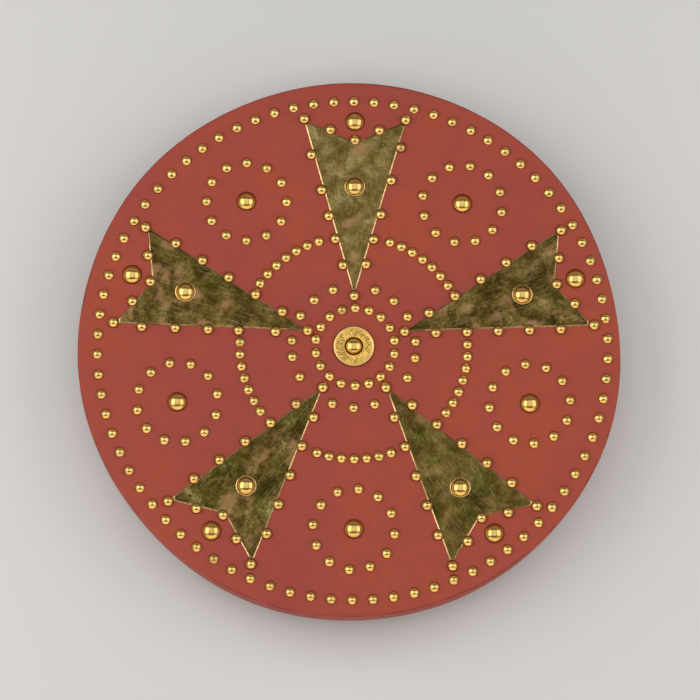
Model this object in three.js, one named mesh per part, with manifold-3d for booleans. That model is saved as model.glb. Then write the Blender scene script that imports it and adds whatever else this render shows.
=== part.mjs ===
// A round wooden shield: a board covered with leather that is turned over its edge, five notched
// brass plates, small brass tacks in rings and rows, and large domed brass studs. On the back are
// an arm strap and a hand grip of thick leather.
// Millimetres. The shield lies face up (+Z) on the strap and the grip. The origin is on the plane
// that they rest on, under the middle of the disc, and +Y runs out along the top plate.
import * as THREE from "three";
import { mergeVertices } from "three/addons/utils/BufferGeometryUtils.js";
import Module from "manifold-3d";

const wasm = await Module();
wasm.setup();

// Board and leather
const shieldRadius = 250; // outside of the leather
const rimSides = 60;
const boardThickness = 21;
const plankWidth = 104; // the board is joined from planks that run along Y
const jointWidth = 2.4; // the groove along a joint, on the back
const jointDepth = 1.4;
const leatherThickness = 2.2;
const rimRound = 3.5; // rounding of the leather where it turns over the edge
const lipWidth = 26; // leather turned in over the back
const gap = 0.3; // between two pieces that lie against each other

// Small tacks: a faceted cone with a flat top stands for each low dome
const tackRadius = 5.4;
const tackHeight = 3.8;
const tackFlat = 2.8; // radius of the flat top
const tackSides = 5;
const tackSink = 0.5; // how far a head reaches into what it holds

// Large studs: a full dome on a thin flange
const studRadius = 9.3; // of the flange
const studShoulder = 0.6; // height at which the dome rises from the flange
const studDome = 7.7; // radius of the dome
const studHeight = 5;
const studSides = 10;

// Centre washer and the stud on it
const washerRadius = 19;
const washerThickness = 1.4;
const washerRim = 2.2; // width of the raised rim
const washerRimHeight = 2.2;
const washerSides = 18;
const centreDome = 7.4; // radius of the stud on the washer
const centreDomeHeight = 4.8;

// Layout, from the pattern's own centre, which is a little off the disc's
const patternCentre = [3.2, -2.2];
const innerRing = 36.7; // radius of the ring round the washer
const innerRingPitch = 12.8; // distance from tack to tack
const secondRing = 57.3;
const secondRingPitch = 20;
const middleRing = 105;
const middleRingPitch = 11.5;
const outerRingInset = 14.9; // from the shield's edge to the outer ring
const outerRingPitch = 18.94;
const smallRing = 37.3; // radius of the five rings between the plates
const smallRingPitch = 19.5;

// Plates: an arrowhead that points at the centre, notched between its wings
const plateThickness = 1;
const plateTip = 48; // from the pattern's centre to a plate's tip
const plateWingInset = 34.5; // from the shield's edge to the line across the wings
const plateWingHalf = 47.5; // half the width across the wings
const plateNotchDepth = 20.3; // from that line to the bottom of the notch
const plateStudInset = 31.7; // from the bottom of the notch to the stud on the plate
const plateTackPitch = 29; // along a long edge
const plateTackOutset = 2.2; // tack centres stand this far outside the plate's edge

// Strap and grip on the back
const handRoom = 30; // clear height under both loops
const loopSpread = 105; // from the middle of the shield to the middle of each loop
const strapThickness = 4;
const strapWidth = 46;
const gripThickness = 7;
const gripWidth = 30;
const loopCrown = 34; // half the length of the flat that touches the ground
const loopLeg = 32; // run of a leg from the crown to the board
const loopFoot = 30; // length of a foot on the board
const loopLegSteps = 6;
const nailRadius = 6;
const nailHeight = 2.6;
const nailFlat = 3.4; // radius of the flat top
const nailSides = 6;

// What the hand nailing left: each plate's bearing and skew in degrees, its tip's distance from
// plateTip, and where its tacks were set along the left and right edges, from the tip outwards
const plates = [
  {
    name: "top", bearing: 90, skew: 0, tipShift: 0, studShift: -11,
    leftSlip: [2, -1, -7, -10, -4], rightSlip: [3, -1, -5, 0, 4],
  },
  {
    name: "upper_left", bearing: 162.2, skew: 0.6, tipShift: -3, studShift: 0,
    leftSlip: [0, 4.5, 3, 4, 5],
  },
  { name: "lower_left", bearing: 233.4, skew: -0.3, tipShift: 0, studShift: 0 },
  { name: "lower_right", bearing: 306.7, skew: -0.7, tipShift: 0.5, studShift: 0 },
  { name: "upper_right", bearing: 18, skew: 0.3, tipShift: 1, studShift: 0 },
];
// The five small rings, each in the sector anticlockwise of a plate: the bearing of its centre, the
// angle of its first tack, and how far the arc of the middle ring in that sector has slipped
const sectors = [
  { name: "upper_left", bearing: 126.2, firstAngle: 0.3, slip: 0.9 },
  { name: "left", bearing: 198.4, firstAngle: 12, slip: -0.8 },
  { name: "bottom", bearing: 270.3, firstAngle: 23.8, slip: 0.4 },
  { name: "right", bearing: 342.2, firstAngle: 5.9, slip: 0.7 },
  { name: "upper_right", bearing: 53.9, firstAngle: 18.6, slip: -1.1 },
];
const outerRingShift = [-0.7, 0.2]; // the outer ring's centre, from the pattern's
const outerRingFirst = 2.4; // angle of its first tack
const innerRingShift = [1.3, 0];
const innerRingFirst = 10;
const tipClear = 12.4; // a tack of the second ring beside a plate's tip is moved to this angle
const tipCovers = 5; // and one nearer than this is left out

// Heights
const boardBottom = strapThickness + handRoom;
const boardTop = boardBottom + boardThickness;
const leatherTop = boardTop + gap + leatherThickness;
const lipBottom = boardBottom - gap - leatherThickness;
const faceLevel = leatherTop + gap; // underside of what lies on the leather
const plateTop = faceLevel + plateThickness;

// Radii that follow from the sizes above
const boardRadius = shieldRadius - leatherThickness - gap;
const outerRing = shieldRadius - outerRingInset;
const plateWing = shieldRadius - plateWingInset;
const plateNotch = plateWing - plateNotchDepth;
const smallRingCentre = (middleRing + outerRing) / 2;

const leather = new THREE.MeshStandardMaterial({ color: "#98443c", roughness: 0.55, metalness: 0 });
const strapLeather = new THREE.MeshStandardMaterial({ color: "#5b3220", roughness: 0.6, metalness: 0 });
const wood = new THREE.MeshStandardMaterial({ color: "#8a6a45", roughness: 0.75, metalness: 0 });
const polishedBrass = new THREE.MeshStandardMaterial({ color: "#d3a13c", roughness: 0.2, metalness: 1 });
const plateBrass = new THREE.MeshStandardMaterial({ color: "#8c7b42", roughness: 0.3, metalness: 1 });
const iron = new THREE.MeshStandardMaterial({ color: "#4a4744", roughness: 0.6, metalness: 0.9 });
for (const material of [leather, strapLeather, wood, polishedBrass, plateBrass, iron])
  material.flatShading = true;

const radians = THREE.MathUtils.degToRad;

// The point at a radius and an angle from a centre
function polar(radius, degrees, centre = [0, 0]) {
  const angle = radians(degrees);
  return [centre[0] + radius * Math.cos(angle), centre[1] + radius * Math.sin(angle)];
}

// Evenly spaced points on a circle, as many as the pitch allows
function ringPoints(radius, pitch, firstAngle, centre) {
  const count = Math.round((2 * Math.PI * radius) / pitch);
  return Array.from({ length: count }, (_, i) =>
    polar(radius, firstAngle + (360 * i) / count, centre),
  );
}

// The signed angle from one bearing to another, between -180 and 180 degrees
function angleFrom(bearing, other) {
  return THREE.MathUtils.euclideanModulo(other - bearing + 180, 360) - 180;
}

// A turned solid about Z from [radius, height] points that run from the lowest to the highest
function turned(profile, sides) {
  const points = profile.map(([radius, height]) => new THREE.Vector2(radius, height));
  const geometry = new THREE.LatheGeometry(points, sides);
  return geometry.rotateX(Math.PI / 2);
}

// A cone cut off flat, standing on height 0
function cutCone(baseRadius, topRadius, height, sides) {
  const corners = ringPoints(baseRadius, (2 * Math.PI * baseRadius) / sides, 90);
  const outline = new THREE.Shape(corners.map(([x, y]) => new THREE.Vector2(x, y)));
  const cone = new THREE.ExtrudeGeometry(outline, { depth: height, bevelEnabled: false });
  const points = cone.getAttribute("position");
  const taper = topRadius / baseRadius;
  for (let i = 0; i < points.count; i++)
    if (points.getZ(i) > height / 2) points.setXY(i, points.getX(i) * taper, points.getY(i) * taper);
  return cone;
}

// A tack's head, its base sunk below height 0 into what it holds
function tackHead() {
  const flare = ((tackRadius - tackFlat) * tackSink) / tackHeight;
  const head = cutCone(tackRadius + flare, tackFlat, tackHeight + tackSink, tackSides);
  return head.translate(0, 0, -tackSink);
}

// A closed geometry as a solid for joining
function toSolid(geometry) {
  const bare = new THREE.BufferGeometry();
  bare.setAttribute("position", geometry.getAttribute("position"));
  if (geometry.index) bare.setIndex(geometry.index);
  const merged = mergeVertices(bare, 1e-4);
  return new wasm.Manifold(
    new wasm.Mesh({
      numProp: 3,
      vertProperties: new Float32Array(merged.getAttribute("position").array),
      triVerts: new Uint32Array(merged.index.array),
    }),
  );
}

function toGeometry(solid) {
  const mesh = solid.getMesh();
  return new THREE.BufferGeometry()
    .setAttribute("position", new THREE.BufferAttribute(mesh.vertProperties, 3))
    .setIndex(new THREE.BufferAttribute(mesh.triVerts, 1));
}

// One geometry from several that overlap
function joined(geometries) {
  return toGeometry(wasm.Manifold.union(geometries.map(toSolid)));
}

// A geometry less the space that some cutters take
function cutAway(geometry, cutters) {
  return toGeometry(toSolid(geometry).subtract(wasm.Manifold.union(cutters.map(toSolid))));
}

function part(name, geometry, material, position = [0, 0, 0]) {
  const mesh = new THREE.Mesh(geometry, material);
  mesh.name = name;
  mesh.position.set(...position);
  return mesh;
}

// Where the small tacks in the leather are, from the pattern's centre
function leatherTackPoints() {
  const points = [
    ...ringPoints(outerRing, outerRingPitch, outerRingFirst, outerRingShift),
    ...ringPoints(innerRing, innerRingPitch, innerRingFirst, innerRingShift),
    ...secondRingPoints(),
  ];
  sectors.forEach((sector, i) => {
    const centre = polar(smallRingCentre, sector.bearing);
    points.push(...ringPoints(smallRing, smallRingPitch, sector.firstAngle, centre));
    points.push(...middleArcPoints(plates[i], plates[(i + 1) % plates.length], sector.slip));
  });
  return points;
}

// The second ring gives way to the plates: a tack under a tip is left out, one beside it moves over
function secondRingPoints() {
  const count = Math.round((2 * Math.PI * secondRing) / secondRingPitch);
  const points = [];
  for (let i = 0; i < count; i++) {
    const angle = innerRingFirst + (360 * i) / count;
    const offsets = plates.map((plate) => angleFrom(plate.bearing, angle));
    const nearest = offsets.reduce((a, b) => (Math.abs(b) < Math.abs(a) ? b : a));
    if (Math.abs(nearest) < tipCovers) continue;
    const moved = Math.sign(nearest) * Math.max(Math.abs(nearest), tipClear);
    points.push(polar(secondRing, angle - nearest + moved));
  }
  return points;
}

// The arc of the middle ring between two plates, centred in its sector
function middleArcPoints(plate, nextPlate, slip) {
  const halfSector = angleFrom(plate.bearing, nextPlate.bearing) / 2;
  const step = THREE.MathUtils.radToDeg(middleRingPitch / middleRing);
  const edgeAngle = THREE.MathUtils.radToDeg(Math.asin(edgePoint(middleRing, 0)[0] / middleRing));
  const room = 2 * (halfSector - edgeAngle) - 2 * step;
  const count = Math.floor(room / step) + 1;
  const first = plate.bearing + halfSector + slip - ((count - 1) * step) / 2;
  return Array.from({ length: count }, (_, i) => polar(middleRing, first + i * step));
}

// The point on a plate's right-hand edge at a distance from the centre, moved outwards by the
// tacks' outset. The plate's tip points down and its axis is Y.
function edgePoint(distance, tipShift) {
  const tip = new THREE.Vector2(0, plateTip + tipShift);
  const along = new THREE.Vector2(plateWingHalf, plateWing).sub(tip);
  const outwards = new THREE.Vector2(along.y, -along.x).setLength(plateTackOutset);
  const point = tip.clone().addScaledVector(along, (distance - tip.y) / along.y).add(outwards);
  return [point.x, point.y];
}

// Where a plate's tacks are: one on each corner, one on each side of the notch, and a row on each
// long edge
function plateTackPoints(plate) {
  const tip = plateTip + plate.tipShift;
  const arm = new THREE.Vector2(plateWingHalf, plateNotchDepth);
  const armOut = new THREE.Vector2(-arm.y, arm.x).setLength(plateTackOutset);
  const armX = arm.x / 2 + armOut.x;
  const armY = plateNotch + arm.y / 2 + armOut.y;
  const points = [
    [0, tip],
    [0, plateNotch + plateTackOutset],
    [plateWingHalf, plateWing + plateTackOutset],
    [-plateWingHalf, plateWing + plateTackOutset],
    [armX, armY],
    [-armX, armY],
  ];
  const edgeLength = Math.hypot(plateWingHalf, plateWing - tip);
  const gaps = Math.round(edgeLength / plateTackPitch);
  for (let i = 1; i < gaps; i++) {
    const distance = tip + ((plateWing - tip) * i) / gaps;
    const slips = [plate.rightSlip, plate.leftSlip].map((slip) => slip?.[i - 1] ?? 0);
    const right = edgePoint(distance + slips[0], plate.tipShift);
    const left = edgePoint(distance + slips[1], plate.tipShift);
    points.push(right, [-left[0], left[1]]);
  }
  return points;
}

// The leather: face, rounded edge and the lip turned in over the back, with the tacks in its face
function coverGeometry() {
  const arc = (from, to, centreHeight, steps) =>
    Array.from({ length: steps + 1 }, (_, i) => {
      const angle = radians(from + ((to - from) * i) / steps);
      return [
        shieldRadius - rimRound + rimRound * Math.cos(angle),
        centreHeight + rimRound * Math.sin(angle),
      ];
    });
  const lipInner = shieldRadius - lipWidth;
  const inside = shieldRadius - leatherThickness;
  const shell = turned(
    [
      [0, leatherTop - leatherThickness],
      [inside, leatherTop - leatherThickness],
      [inside, lipBottom + leatherThickness],
      [lipInner, lipBottom + leatherThickness],
      [lipInner, lipBottom],
      ...arc(-90, 0, lipBottom + rimRound, 1),
      ...arc(0, 90, leatherTop - rimRound, 2),
      [0, leatherTop],
    ],
    rimSides,
  );
  const tacks = leatherTackPoints().map(([x, y]) =>
    tackHead().translate(x + patternCentre[0], y + patternCentre[1], leatherTop),
  );
  return joined([shell, ...tacks]);
}

// The board, with a groove along each joint between its planks
function boardGeometry() {
  const disc = turned(
    [[0, boardBottom], [boardRadius, boardBottom], [boardRadius, boardTop], [0, boardTop]],
    rimSides,
  );
  const planks = Math.ceil((2 * boardRadius) / plankWidth);
  const length = 2 * shieldRadius;
  const grooves = Array.from({ length: planks - 1 }, (_, i) => {
    const section = new THREE.Shape([
      new THREE.Vector2(-jointWidth, -jointDepth),
      new THREE.Vector2(jointWidth, -jointDepth),
      new THREE.Vector2(0, jointDepth),
    ]);
    const bar = new THREE.ExtrudeGeometry(section, { depth: length, bevelEnabled: false });
    bar.translate(0, 0, -length / 2).rotateX(Math.PI / 2);
    return bar.translate((i + 1 - planks / 2) * plankWidth, 0, boardBottom);
  });
  return cutAway(disc, grooves);
}

// A plate with the tacks along its edges, its underside at height 0 and its tip towards the origin
function plateGeometry(plate) {
  const outline = new THREE.Shape([
    new THREE.Vector2(0, plateTip + plate.tipShift),
    new THREE.Vector2(plateWingHalf, plateWing),
    new THREE.Vector2(0, plateNotch),
    new THREE.Vector2(-plateWingHalf, plateWing),
  ]);
  const sheet = new THREE.ExtrudeGeometry(outline, { depth: plateThickness, bevelEnabled: false });
  const tacks = plateTackPoints(plate).map(([x, y]) =>
    tackHead().translate(x, y, plateThickness),
  );
  return joined([sheet, ...tacks]);
}

// A plate lies on the leather, turned about a point halfway along it
function placedPlate(plate) {
  const middle = (plateTip + plateWing) / 2;
  const [x, y] = polar(middle, plate.bearing, patternCentre);
  const place = new THREE.Group();
  place.position.set(x, y, faceLevel);
  place.rotation.z = radians(plate.bearing - 90 + plate.skew);
  place.add(part(`plate_${plate.name}`, plateGeometry(plate), plateBrass, [0, -middle, 0]));
  return place;
}

const studGeometry = turned(
  [
    [0, 0],
    [studRadius, 0],
    [studDome, studShoulder],
    [studDome * 0.76, studShoulder + (studHeight - studShoulder) * 0.56],
    [studDome * 0.32, studHeight],
    [0, studHeight],
  ],
  studSides,
);

// A large stud, its flange on the leather or on a plate
function placedStud(name, distance, bearing, height) {
  const [x, y] = polar(distance, bearing, patternCentre);
  return part(name, studGeometry, polishedBrass, [x, y, height]);
}

// The washer has a raised rim, and a stud of its own stands in its middle
function centrePieces() {
  const bed = washerRadius - washerRim;
  const washer = turned(
    [
      [0, 0],
      [washerRadius, 0],
      [washerRadius - washerRim / 2, washerRimHeight],
      [bed, washerThickness],
      [0, washerThickness],
    ],
    washerSides,
  );
  const dome = turned(
    [
      [0, 0],
      [centreDome, 0],
      [centreDome * 0.78, centreDomeHeight * 0.58],
      [centreDome * 0.34, centreDomeHeight],
      [0, centreDomeHeight],
    ],
    studSides,
  );
  const [x, y] = patternCentre;
  return [
    part("centre_washer", washer, polishedBrass, [x, y, faceLevel]),
    part("centre_stud", dome, polishedBrass, [x, y, faceLevel + washerThickness + gap]),
  ];
}

// A loop's side view in the Y-Z plane: feet on the board, legs that ease down, a flat crown
function loopGeometry(width, thickness) {
  const footHeight = boardBottom - gap - thickness / 2;
  const crownHeight = thickness / 2;
  const half = [[loopCrown + loopLeg + loopFoot, footHeight, 0]];
  for (let i = 0; i <= loopLegSteps; i++) {
    const angle = (Math.PI * i) / loopLegSteps;
    const rise = (footHeight - crownHeight) / 2;
    const height = crownHeight + rise * (1 + Math.cos(angle));
    const slope = (rise * Math.sin(angle) * Math.PI) / loopLeg;
    half.push([loopCrown + loopLeg * (1 - i / loopLegSteps), height, slope]);
  }
  const middleLine = [...half, ...half.toReversed().map(([y, z, slope]) => [-y, z, -slope])];
  const side = (offset) =>
    middleLine.map(([y, z, slope]) => {
      const long = Math.hypot(1, slope);
      return new THREE.Vector2(y - (offset * slope) / long, z + offset / long);
    });
  const outline = new THREE.Shape([...side(thickness / 2), ...side(-thickness / 2).toReversed()]);
  const geometry = new THREE.ExtrudeGeometry(outline, { depth: width, bevelEnabled: false });
  geometry.translate(0, 0, -width / 2);
  const [across, up, along] = [
    new THREE.Vector3(0, 1, 0),
    new THREE.Vector3(0, 0, 1),
    new THREE.Vector3(1, 0, 0),
  ];
  return geometry.applyMatrix4(new THREE.Matrix4().makeBasis(across, up, along));
}

// A loop with two nails through each foot
function placedLoop(name, x, width, thickness) {
  const group = new THREE.Group();
  group.add(part(name, loopGeometry(width, thickness), strapLeather, [x, 0, 0]));
  const nail = cutCone(nailRadius, nailFlat, nailHeight, nailSides).rotateX(Math.PI);
  const nailY = loopCrown + loopLeg + loopFoot / 2;
  const nailZ = boardBottom - gap - thickness - gap;
  const places = [[1, 1], [-1, 1], [-1, -1], [1, -1]];
  places.forEach(([sideX, sideY], i) => {
    const place = [x + (sideX * width) / 4, sideY * nailY, nailZ];
    group.add(part(`${name}_nail_${i + 1}`, nail, iron, place));
  });
  return group;
}

const shield = new THREE.Group();
shield.add(part("wooden_board", boardGeometry(), wood));
shield.add(part("leather_cover", coverGeometry(), leather));
for (const plate of plates) {
  const { name, bearing, studShift } = plate;
  shield.add(placedPlate(plate));
  const studAt = plateNotch - plateStudInset + studShift;
  shield.add(placedStud(`plate_stud_${name}`, studAt, bearing, plateTop + gap));
  shield.add(placedStud(`notch_stud_${name}`, plateWing, bearing, faceLevel));
}
for (const { name, bearing } of sectors)
  shield.add(placedStud(`ring_stud_${name}`, smallRingCentre, bearing, faceLevel));
shield.add(...centrePieces());
shield.add(placedLoop("arm_strap", -loopSpread, strapWidth, strapThickness));
shield.add(placedLoop("hand_grip", loopSpread, gripWidth, gripThickness));

export default shield;
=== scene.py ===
# A round shield of boards, leather and brass that lies face up on a pale floor.
# The shape functions work in millimetres, and addPiece turns their points into metres.
import math

import bpy
import numpy as np
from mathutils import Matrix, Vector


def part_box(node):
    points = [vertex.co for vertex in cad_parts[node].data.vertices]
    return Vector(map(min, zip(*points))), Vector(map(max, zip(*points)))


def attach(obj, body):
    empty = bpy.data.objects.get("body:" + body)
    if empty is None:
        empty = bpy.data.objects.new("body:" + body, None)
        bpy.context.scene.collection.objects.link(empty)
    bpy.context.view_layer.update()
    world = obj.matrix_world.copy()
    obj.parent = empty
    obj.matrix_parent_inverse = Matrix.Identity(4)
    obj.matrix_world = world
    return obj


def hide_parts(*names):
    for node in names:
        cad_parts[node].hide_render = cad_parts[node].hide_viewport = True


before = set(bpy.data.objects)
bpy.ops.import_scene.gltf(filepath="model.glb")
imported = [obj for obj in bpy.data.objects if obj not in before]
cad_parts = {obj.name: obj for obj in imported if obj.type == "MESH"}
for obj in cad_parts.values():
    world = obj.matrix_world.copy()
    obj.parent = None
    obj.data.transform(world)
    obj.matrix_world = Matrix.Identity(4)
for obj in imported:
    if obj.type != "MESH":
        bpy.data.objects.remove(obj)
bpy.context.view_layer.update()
mm = 0.001  # metres in a millimetre
gap = 0.3  # millimetres between two pieces that lie against each other
print("frame loaded:", len(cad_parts), "nodes")


def nodeBox(name):
    # lowest and highest corner of a CAD node, in millimetres
    return [np.array(corner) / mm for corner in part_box(name)]


def nodeFoot(name):
    # the middle of a CAD node's box, at its lowest level
    low, high = nodeBox(name)
    return np.array([*(low + high)[:2] / 2, low[2]])


def smoothStep(values, low, high):
    # 0 up to low, 1 from high on, and 3t^2 - 2t^3 in between; with low above high it falls instead
    t = np.clip((values - low) / (high - low), 0, 1)
    return t * t * (3 - 2 * t)


def levelled(cosines):
    # their sum over the last axis, divided so that its peaks come near -1 and 1
    return cosines.sum(-1) / math.sqrt(cosines.shape[-1]) / 1.6


def waves(angles, counts, seed):
    # cosines with whole numbers of periods round the circle and random phases
    phases = np.random.default_rng(seed).uniform(0, 2 * np.pi, len(counts))
    return levelled(np.cos(angles[..., None] * np.array(counts) + phases))


def ripples(x, y, wavelength, seed):
    # plane waves in random directions, with wavelengths near the one given
    amount = 9
    rng = np.random.default_rng(seed)
    turn = rng.uniform(0, np.pi, amount)
    size = 2 * np.pi / (wavelength * rng.uniform(0.7, 1.6, amount))
    phase = rng.uniform(0, 2 * np.pi, amount)
    along = x[..., None] * np.cos(turn) + y[..., None] * np.sin(turn)
    return levelled(np.cos(along * size + phase))


def together(*parts):
    # numbers or arrays, spread to one shape and put side by side along a new last axis
    return np.stack(np.broadcast_arrays(*parts), -1)


def circle(count, start=0):
    # equal steps round the circle; start is a share of a step
    return (np.arange(count) + start) * 2 * np.pi / count


def aroundAxis(radii, angles, heights):
    # points (r cos a, r sin a, z)
    return together(radii * np.cos(angles), radii * np.sin(angles), heights)


def normals(line):
    # unit vectors square to a line of points in a plane, to the right of its direction
    way = np.gradient(line, axis=0)
    way /= np.linalg.norm(way, axis=1, keepdims=True)
    return together(way[:, 1], -way[:, 0])


def gridFaces(rows, columns, wrap=False):
    # quads between neighbouring rows and columns; with wrap the last column joins the first
    index = np.arange(rows * columns).reshape(rows, columns)
    if wrap:
        index = np.hstack([index, index[:, :1]])
    corners = [index[:-1, :-1], index[:-1, 1:], index[1:, 1:], index[1:, :-1]]
    return np.stack(corners, -1).reshape(-1, 4).tolist()


def tubeFaces(rows, columns):
    # a wrapped grid closed at both ends with one face each
    first, last = list(range(columns)), list(range((rows - 1) * columns, rows * columns))
    return gridFaces(rows, columns, True) + [first[::-1], last]


def copiedFaces(faces, copies, pointCount):
    # the faces of a solid with pointCount points, for each of several copies of it
    return [[corner + i * pointCount for corner in face] for i in range(copies) for face in faces]


def closedRings(rings):
    # points and faces of rings round the axis, closed at both ends with fans to two poles, which are
    # the last two points
    rows, columns = rings.shape[:2]
    index = np.arange(rows * columns).reshape(rows, columns)
    first, last = index[0], index[-1]
    low, high = np.full(columns, rows * columns), np.full(columns, rows * columns + 1)
    lowFan = together(low, np.roll(first, -1), first)
    highFan = together(high, last, np.roll(last, -1))
    poles = [[0, 0, rings[0, 0, 2]], [0, 0, rings[-1, 0, 2]]]
    faces = gridFaces(rows, columns, True) + lowFan.tolist() + highFan.tolist()
    return np.vstack([rings.reshape(-1, 3), poles]), faces


def onRings(values, rings):
    # one number for each point of closedRings, 0 at its poles
    shape = rings.shape[:2]
    return {key: np.append(np.broadcast_to(part, shape), [0, 0]) for key, part in values.items()}


def turnedSolid(profile, sides):
    # a ring for each (radius, height) of the profile
    r, z = np.array(profile, float).T[..., None]
    return closedRings(aroundAxis(r, circle(sides), z))


def rimOf(grid):
    # the outermost entries of a grid, in order round it
    return np.concatenate([grid[0, :-1], grid[:-1, -1], grid[-1, :0:-1], grid[:0:-1, 0]])


def closedSlab(surface, otherLevel):
    # a grid of points whose edge is carried straight to another level and closed with one face
    rows, columns = surface.shape[:2]
    rim = rimOf(np.arange(rows * columns).reshape(rows, columns))
    points = surface.reshape(-1, 3)
    lower = points[rim] * (1, 1, 0) + (0, 0, otherLevel)
    under = len(points) + np.arange(len(rim))
    wall = together(rim, under, np.roll(under, -1), np.roll(rim, -1))
    faces = gridFaces(rows, columns) + wall.tolist() + [under[::-1].tolist()]
    return np.vstack([points, lower]), faces


def addPiece(name, points, faces, material, slotName, replaced=(), sharpAngle=50, values=None):
    # the object stays at the origin; values holds one number for each point under each name
    mesh = bpy.data.meshes.new(name)
    mesh.from_pydata(points.reshape(-1, 3) * mm, [], faces)
    mesh.polygons.foreach_set("use_smooth", np.ones(len(mesh.polygons), bool))
    mesh.set_sharp_from_angle(angle=math.radians(sharpAngle))
    for key, numbers in (values or {}).items():
        attribute = mesh.attributes.new(key, "FLOAT", "POINT")
        attribute.data.foreach_set("value", np.ravel(numbers).astype(np.float32))
    mesh.materials.append(material)
    piece = bpy.data.objects.new(name, mesh)
    bpy.context.collection.objects.link(piece)
    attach(piece, "root")
    if replaced:
        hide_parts(*replaced)
    return piece


def addFlatMap(piece, acrossAlong):
    # a UV map from the piece's own flat coordinates in millimetres, one pair for each point
    corners = np.empty(len(piece.data.loops), np.int32)
    piece.data.loops.foreach_get("vertex_index", corners)
    layer = piece.data.uv_layers.new(name="flat")
    layer.data.foreach_set("uv", (acrossAlong[corners] * mm).astype(np.float32).ravel())


# Shader nodes


def setInput(tree, socket, value):
    # a socket is linked to, anything else becomes the default
    if isinstance(value, bpy.types.NodeSocket):
        tree.links.new(value, socket)
    else:
        socket.default_value = value


def addNode(tree, kind, inputs=None, **settings):
    made = tree.nodes.new("ShaderNode" + kind)
    for key, value in settings.items():
        setattr(made, key, value)
    for key, value in (inputs or {}).items():
        setInput(tree, made.inputs[key], value)
    return made


def setShader(material, **inputs):
    # inputs of the Principled shader; a name is written with _ for each space
    tree = material.node_tree
    for key, value in inputs.items():
        setInput(tree, tree.nodes["Principled BSDF"].inputs[key.replace("_", " ")], value)
    return material


def startMaterial(name, **inputs):
    # the material, its node tree and the place of a point in the object
    material = bpy.data.materials.new(name)
    material.use_nodes = True
    tree = material.node_tree
    return setShader(material, **inputs), tree, addNode(tree, "TexCoord").outputs["Object"]


def pieceValue(tree, name):
    return addNode(tree, "Attribute", attribute_name=name, attribute_type="GEOMETRY").outputs["Fac"]


def stretched(tree, vector, scale, location=(0, 0, 0), rotation=(0, 0, 0)):
    inputs = {"Vector": vector, "Scale": scale, "Location": location, "Rotation": rotation}
    return addNode(tree, "Mapping", inputs).outputs["Vector"]


def noise(tree, vector, scale, detail=4, roughness=0.55, distortion=0):
    inputs = {"Vector": vector, "Scale": scale, "Detail": detail, "Roughness": roughness}
    return addNode(tree, "TexNoise", {**inputs, "Distortion": distortion}).outputs["Fac"]


def cells(tree, vector, scale):
    return addNode(tree, "TexVoronoi", {"Vector": vector, "Scale": scale}).outputs["Distance"]


def rescale(tree, value, low, high, newLow=0, newHigh=1):
    inputs = {"Value": value, "From Min": low, "From Max": high, "To Min": newLow, "To Max": newHigh}
    return addNode(tree, "MapRange", inputs, interpolation_type="SMOOTHSTEP").outputs["Result"]


def plus(tree, first, second, operation="ADD"):
    return addNode(tree, "Math", {0: first, 1: second}, operation=operation).outputs["Value"]


def times(tree, first, second):
    return plus(tree, first, second, "MULTIPLY")


def blended(tree, factor, first, second, mode="MIX"):
    # colours are given as three numbers or as a socket
    made = addNode(tree, "Mix", data_type="RGBA", blend_type=mode)
    setInput(tree, made.inputs[0], factor)
    for socket, value in ((made.inputs[6], first), (made.inputs[7], second)):
        setInput(tree, socket, (*value, 1) if isinstance(value, tuple) else value)
    return made.outputs[2]


def layered(tree, colour, layers):
    # each layer is how much of it shows, and its colour
    for factor, over in layers:
        colour = blended(tree, factor, colour, over)
    return colour


def ramp(tree, factor, stops):
    # colours at places from 0 to 1
    made = addNode(tree, "ValToRGB", {"Fac": factor})
    elements = made.color_ramp.elements
    for _ in stops[2:]:
        elements.new(0.5)
    for element, (place, colour) in zip(elements, stops):
        element.position = place
        element.color = (*colour, 1)
    return made.outputs["Color"]


def bump(tree, height, distance, strength, under=None):
    # distance is the height in metres of a step from 0 to 1
    inputs = {"Height": height, "Distance": distance, "Strength": strength}
    if under is not None:
        inputs["Normal"] = under
    return addNode(tree, "Bump", inputs).outputs["Normal"]


# Floor, camera and light

washerFoot = nodeFoot("centre_washer")
faceLevel = washerFoot[2] - gap  # top of the leather
patternCentre = washerFoot[:2]

stageSizes = {
    "floorHalf": 8,  # metres
    "floorColour": (0.8, 0.79, 0.77),
    "floorPatches": 0.97,  # brightness of its darker patches
    "worldGrey": 0.17,
    "lights": {  # place, width and height, brightness, colour
        "leftBox": ((-1.38, 0.06, 1.05), (2, 1.5), 1.65, (1, 1, 1)),
        "rightBox": ((1.38, 0.06, 1.05), (2, 1.5), 1.25, (1, 1, 1)),
        "topPanel": ((0, 0.05, 2.28), (1.9, 3), 0.72, (1, 1, 1)),
        "frontBox": ((0, -2, 0.62), (5.4, 1), 1.1, (1, 0.78, 0.66)),
        "backBox": ((0, 2, 0.55), (3.2, 0.8), 0.14, (1, 0.82, 0.68)),
    },
}
cameraSizes = {
    "away": (-0.0223, -0.2214, 0.9749),  # from the middle of the pattern to the camera
    "distance": 2.988,
    "up": (-0.0055, 1, 0),
    "lens": 167,
    "aim": (-3.5, -3.3),  # point of the face, in millimetres from the middle of the pattern
}


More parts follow.
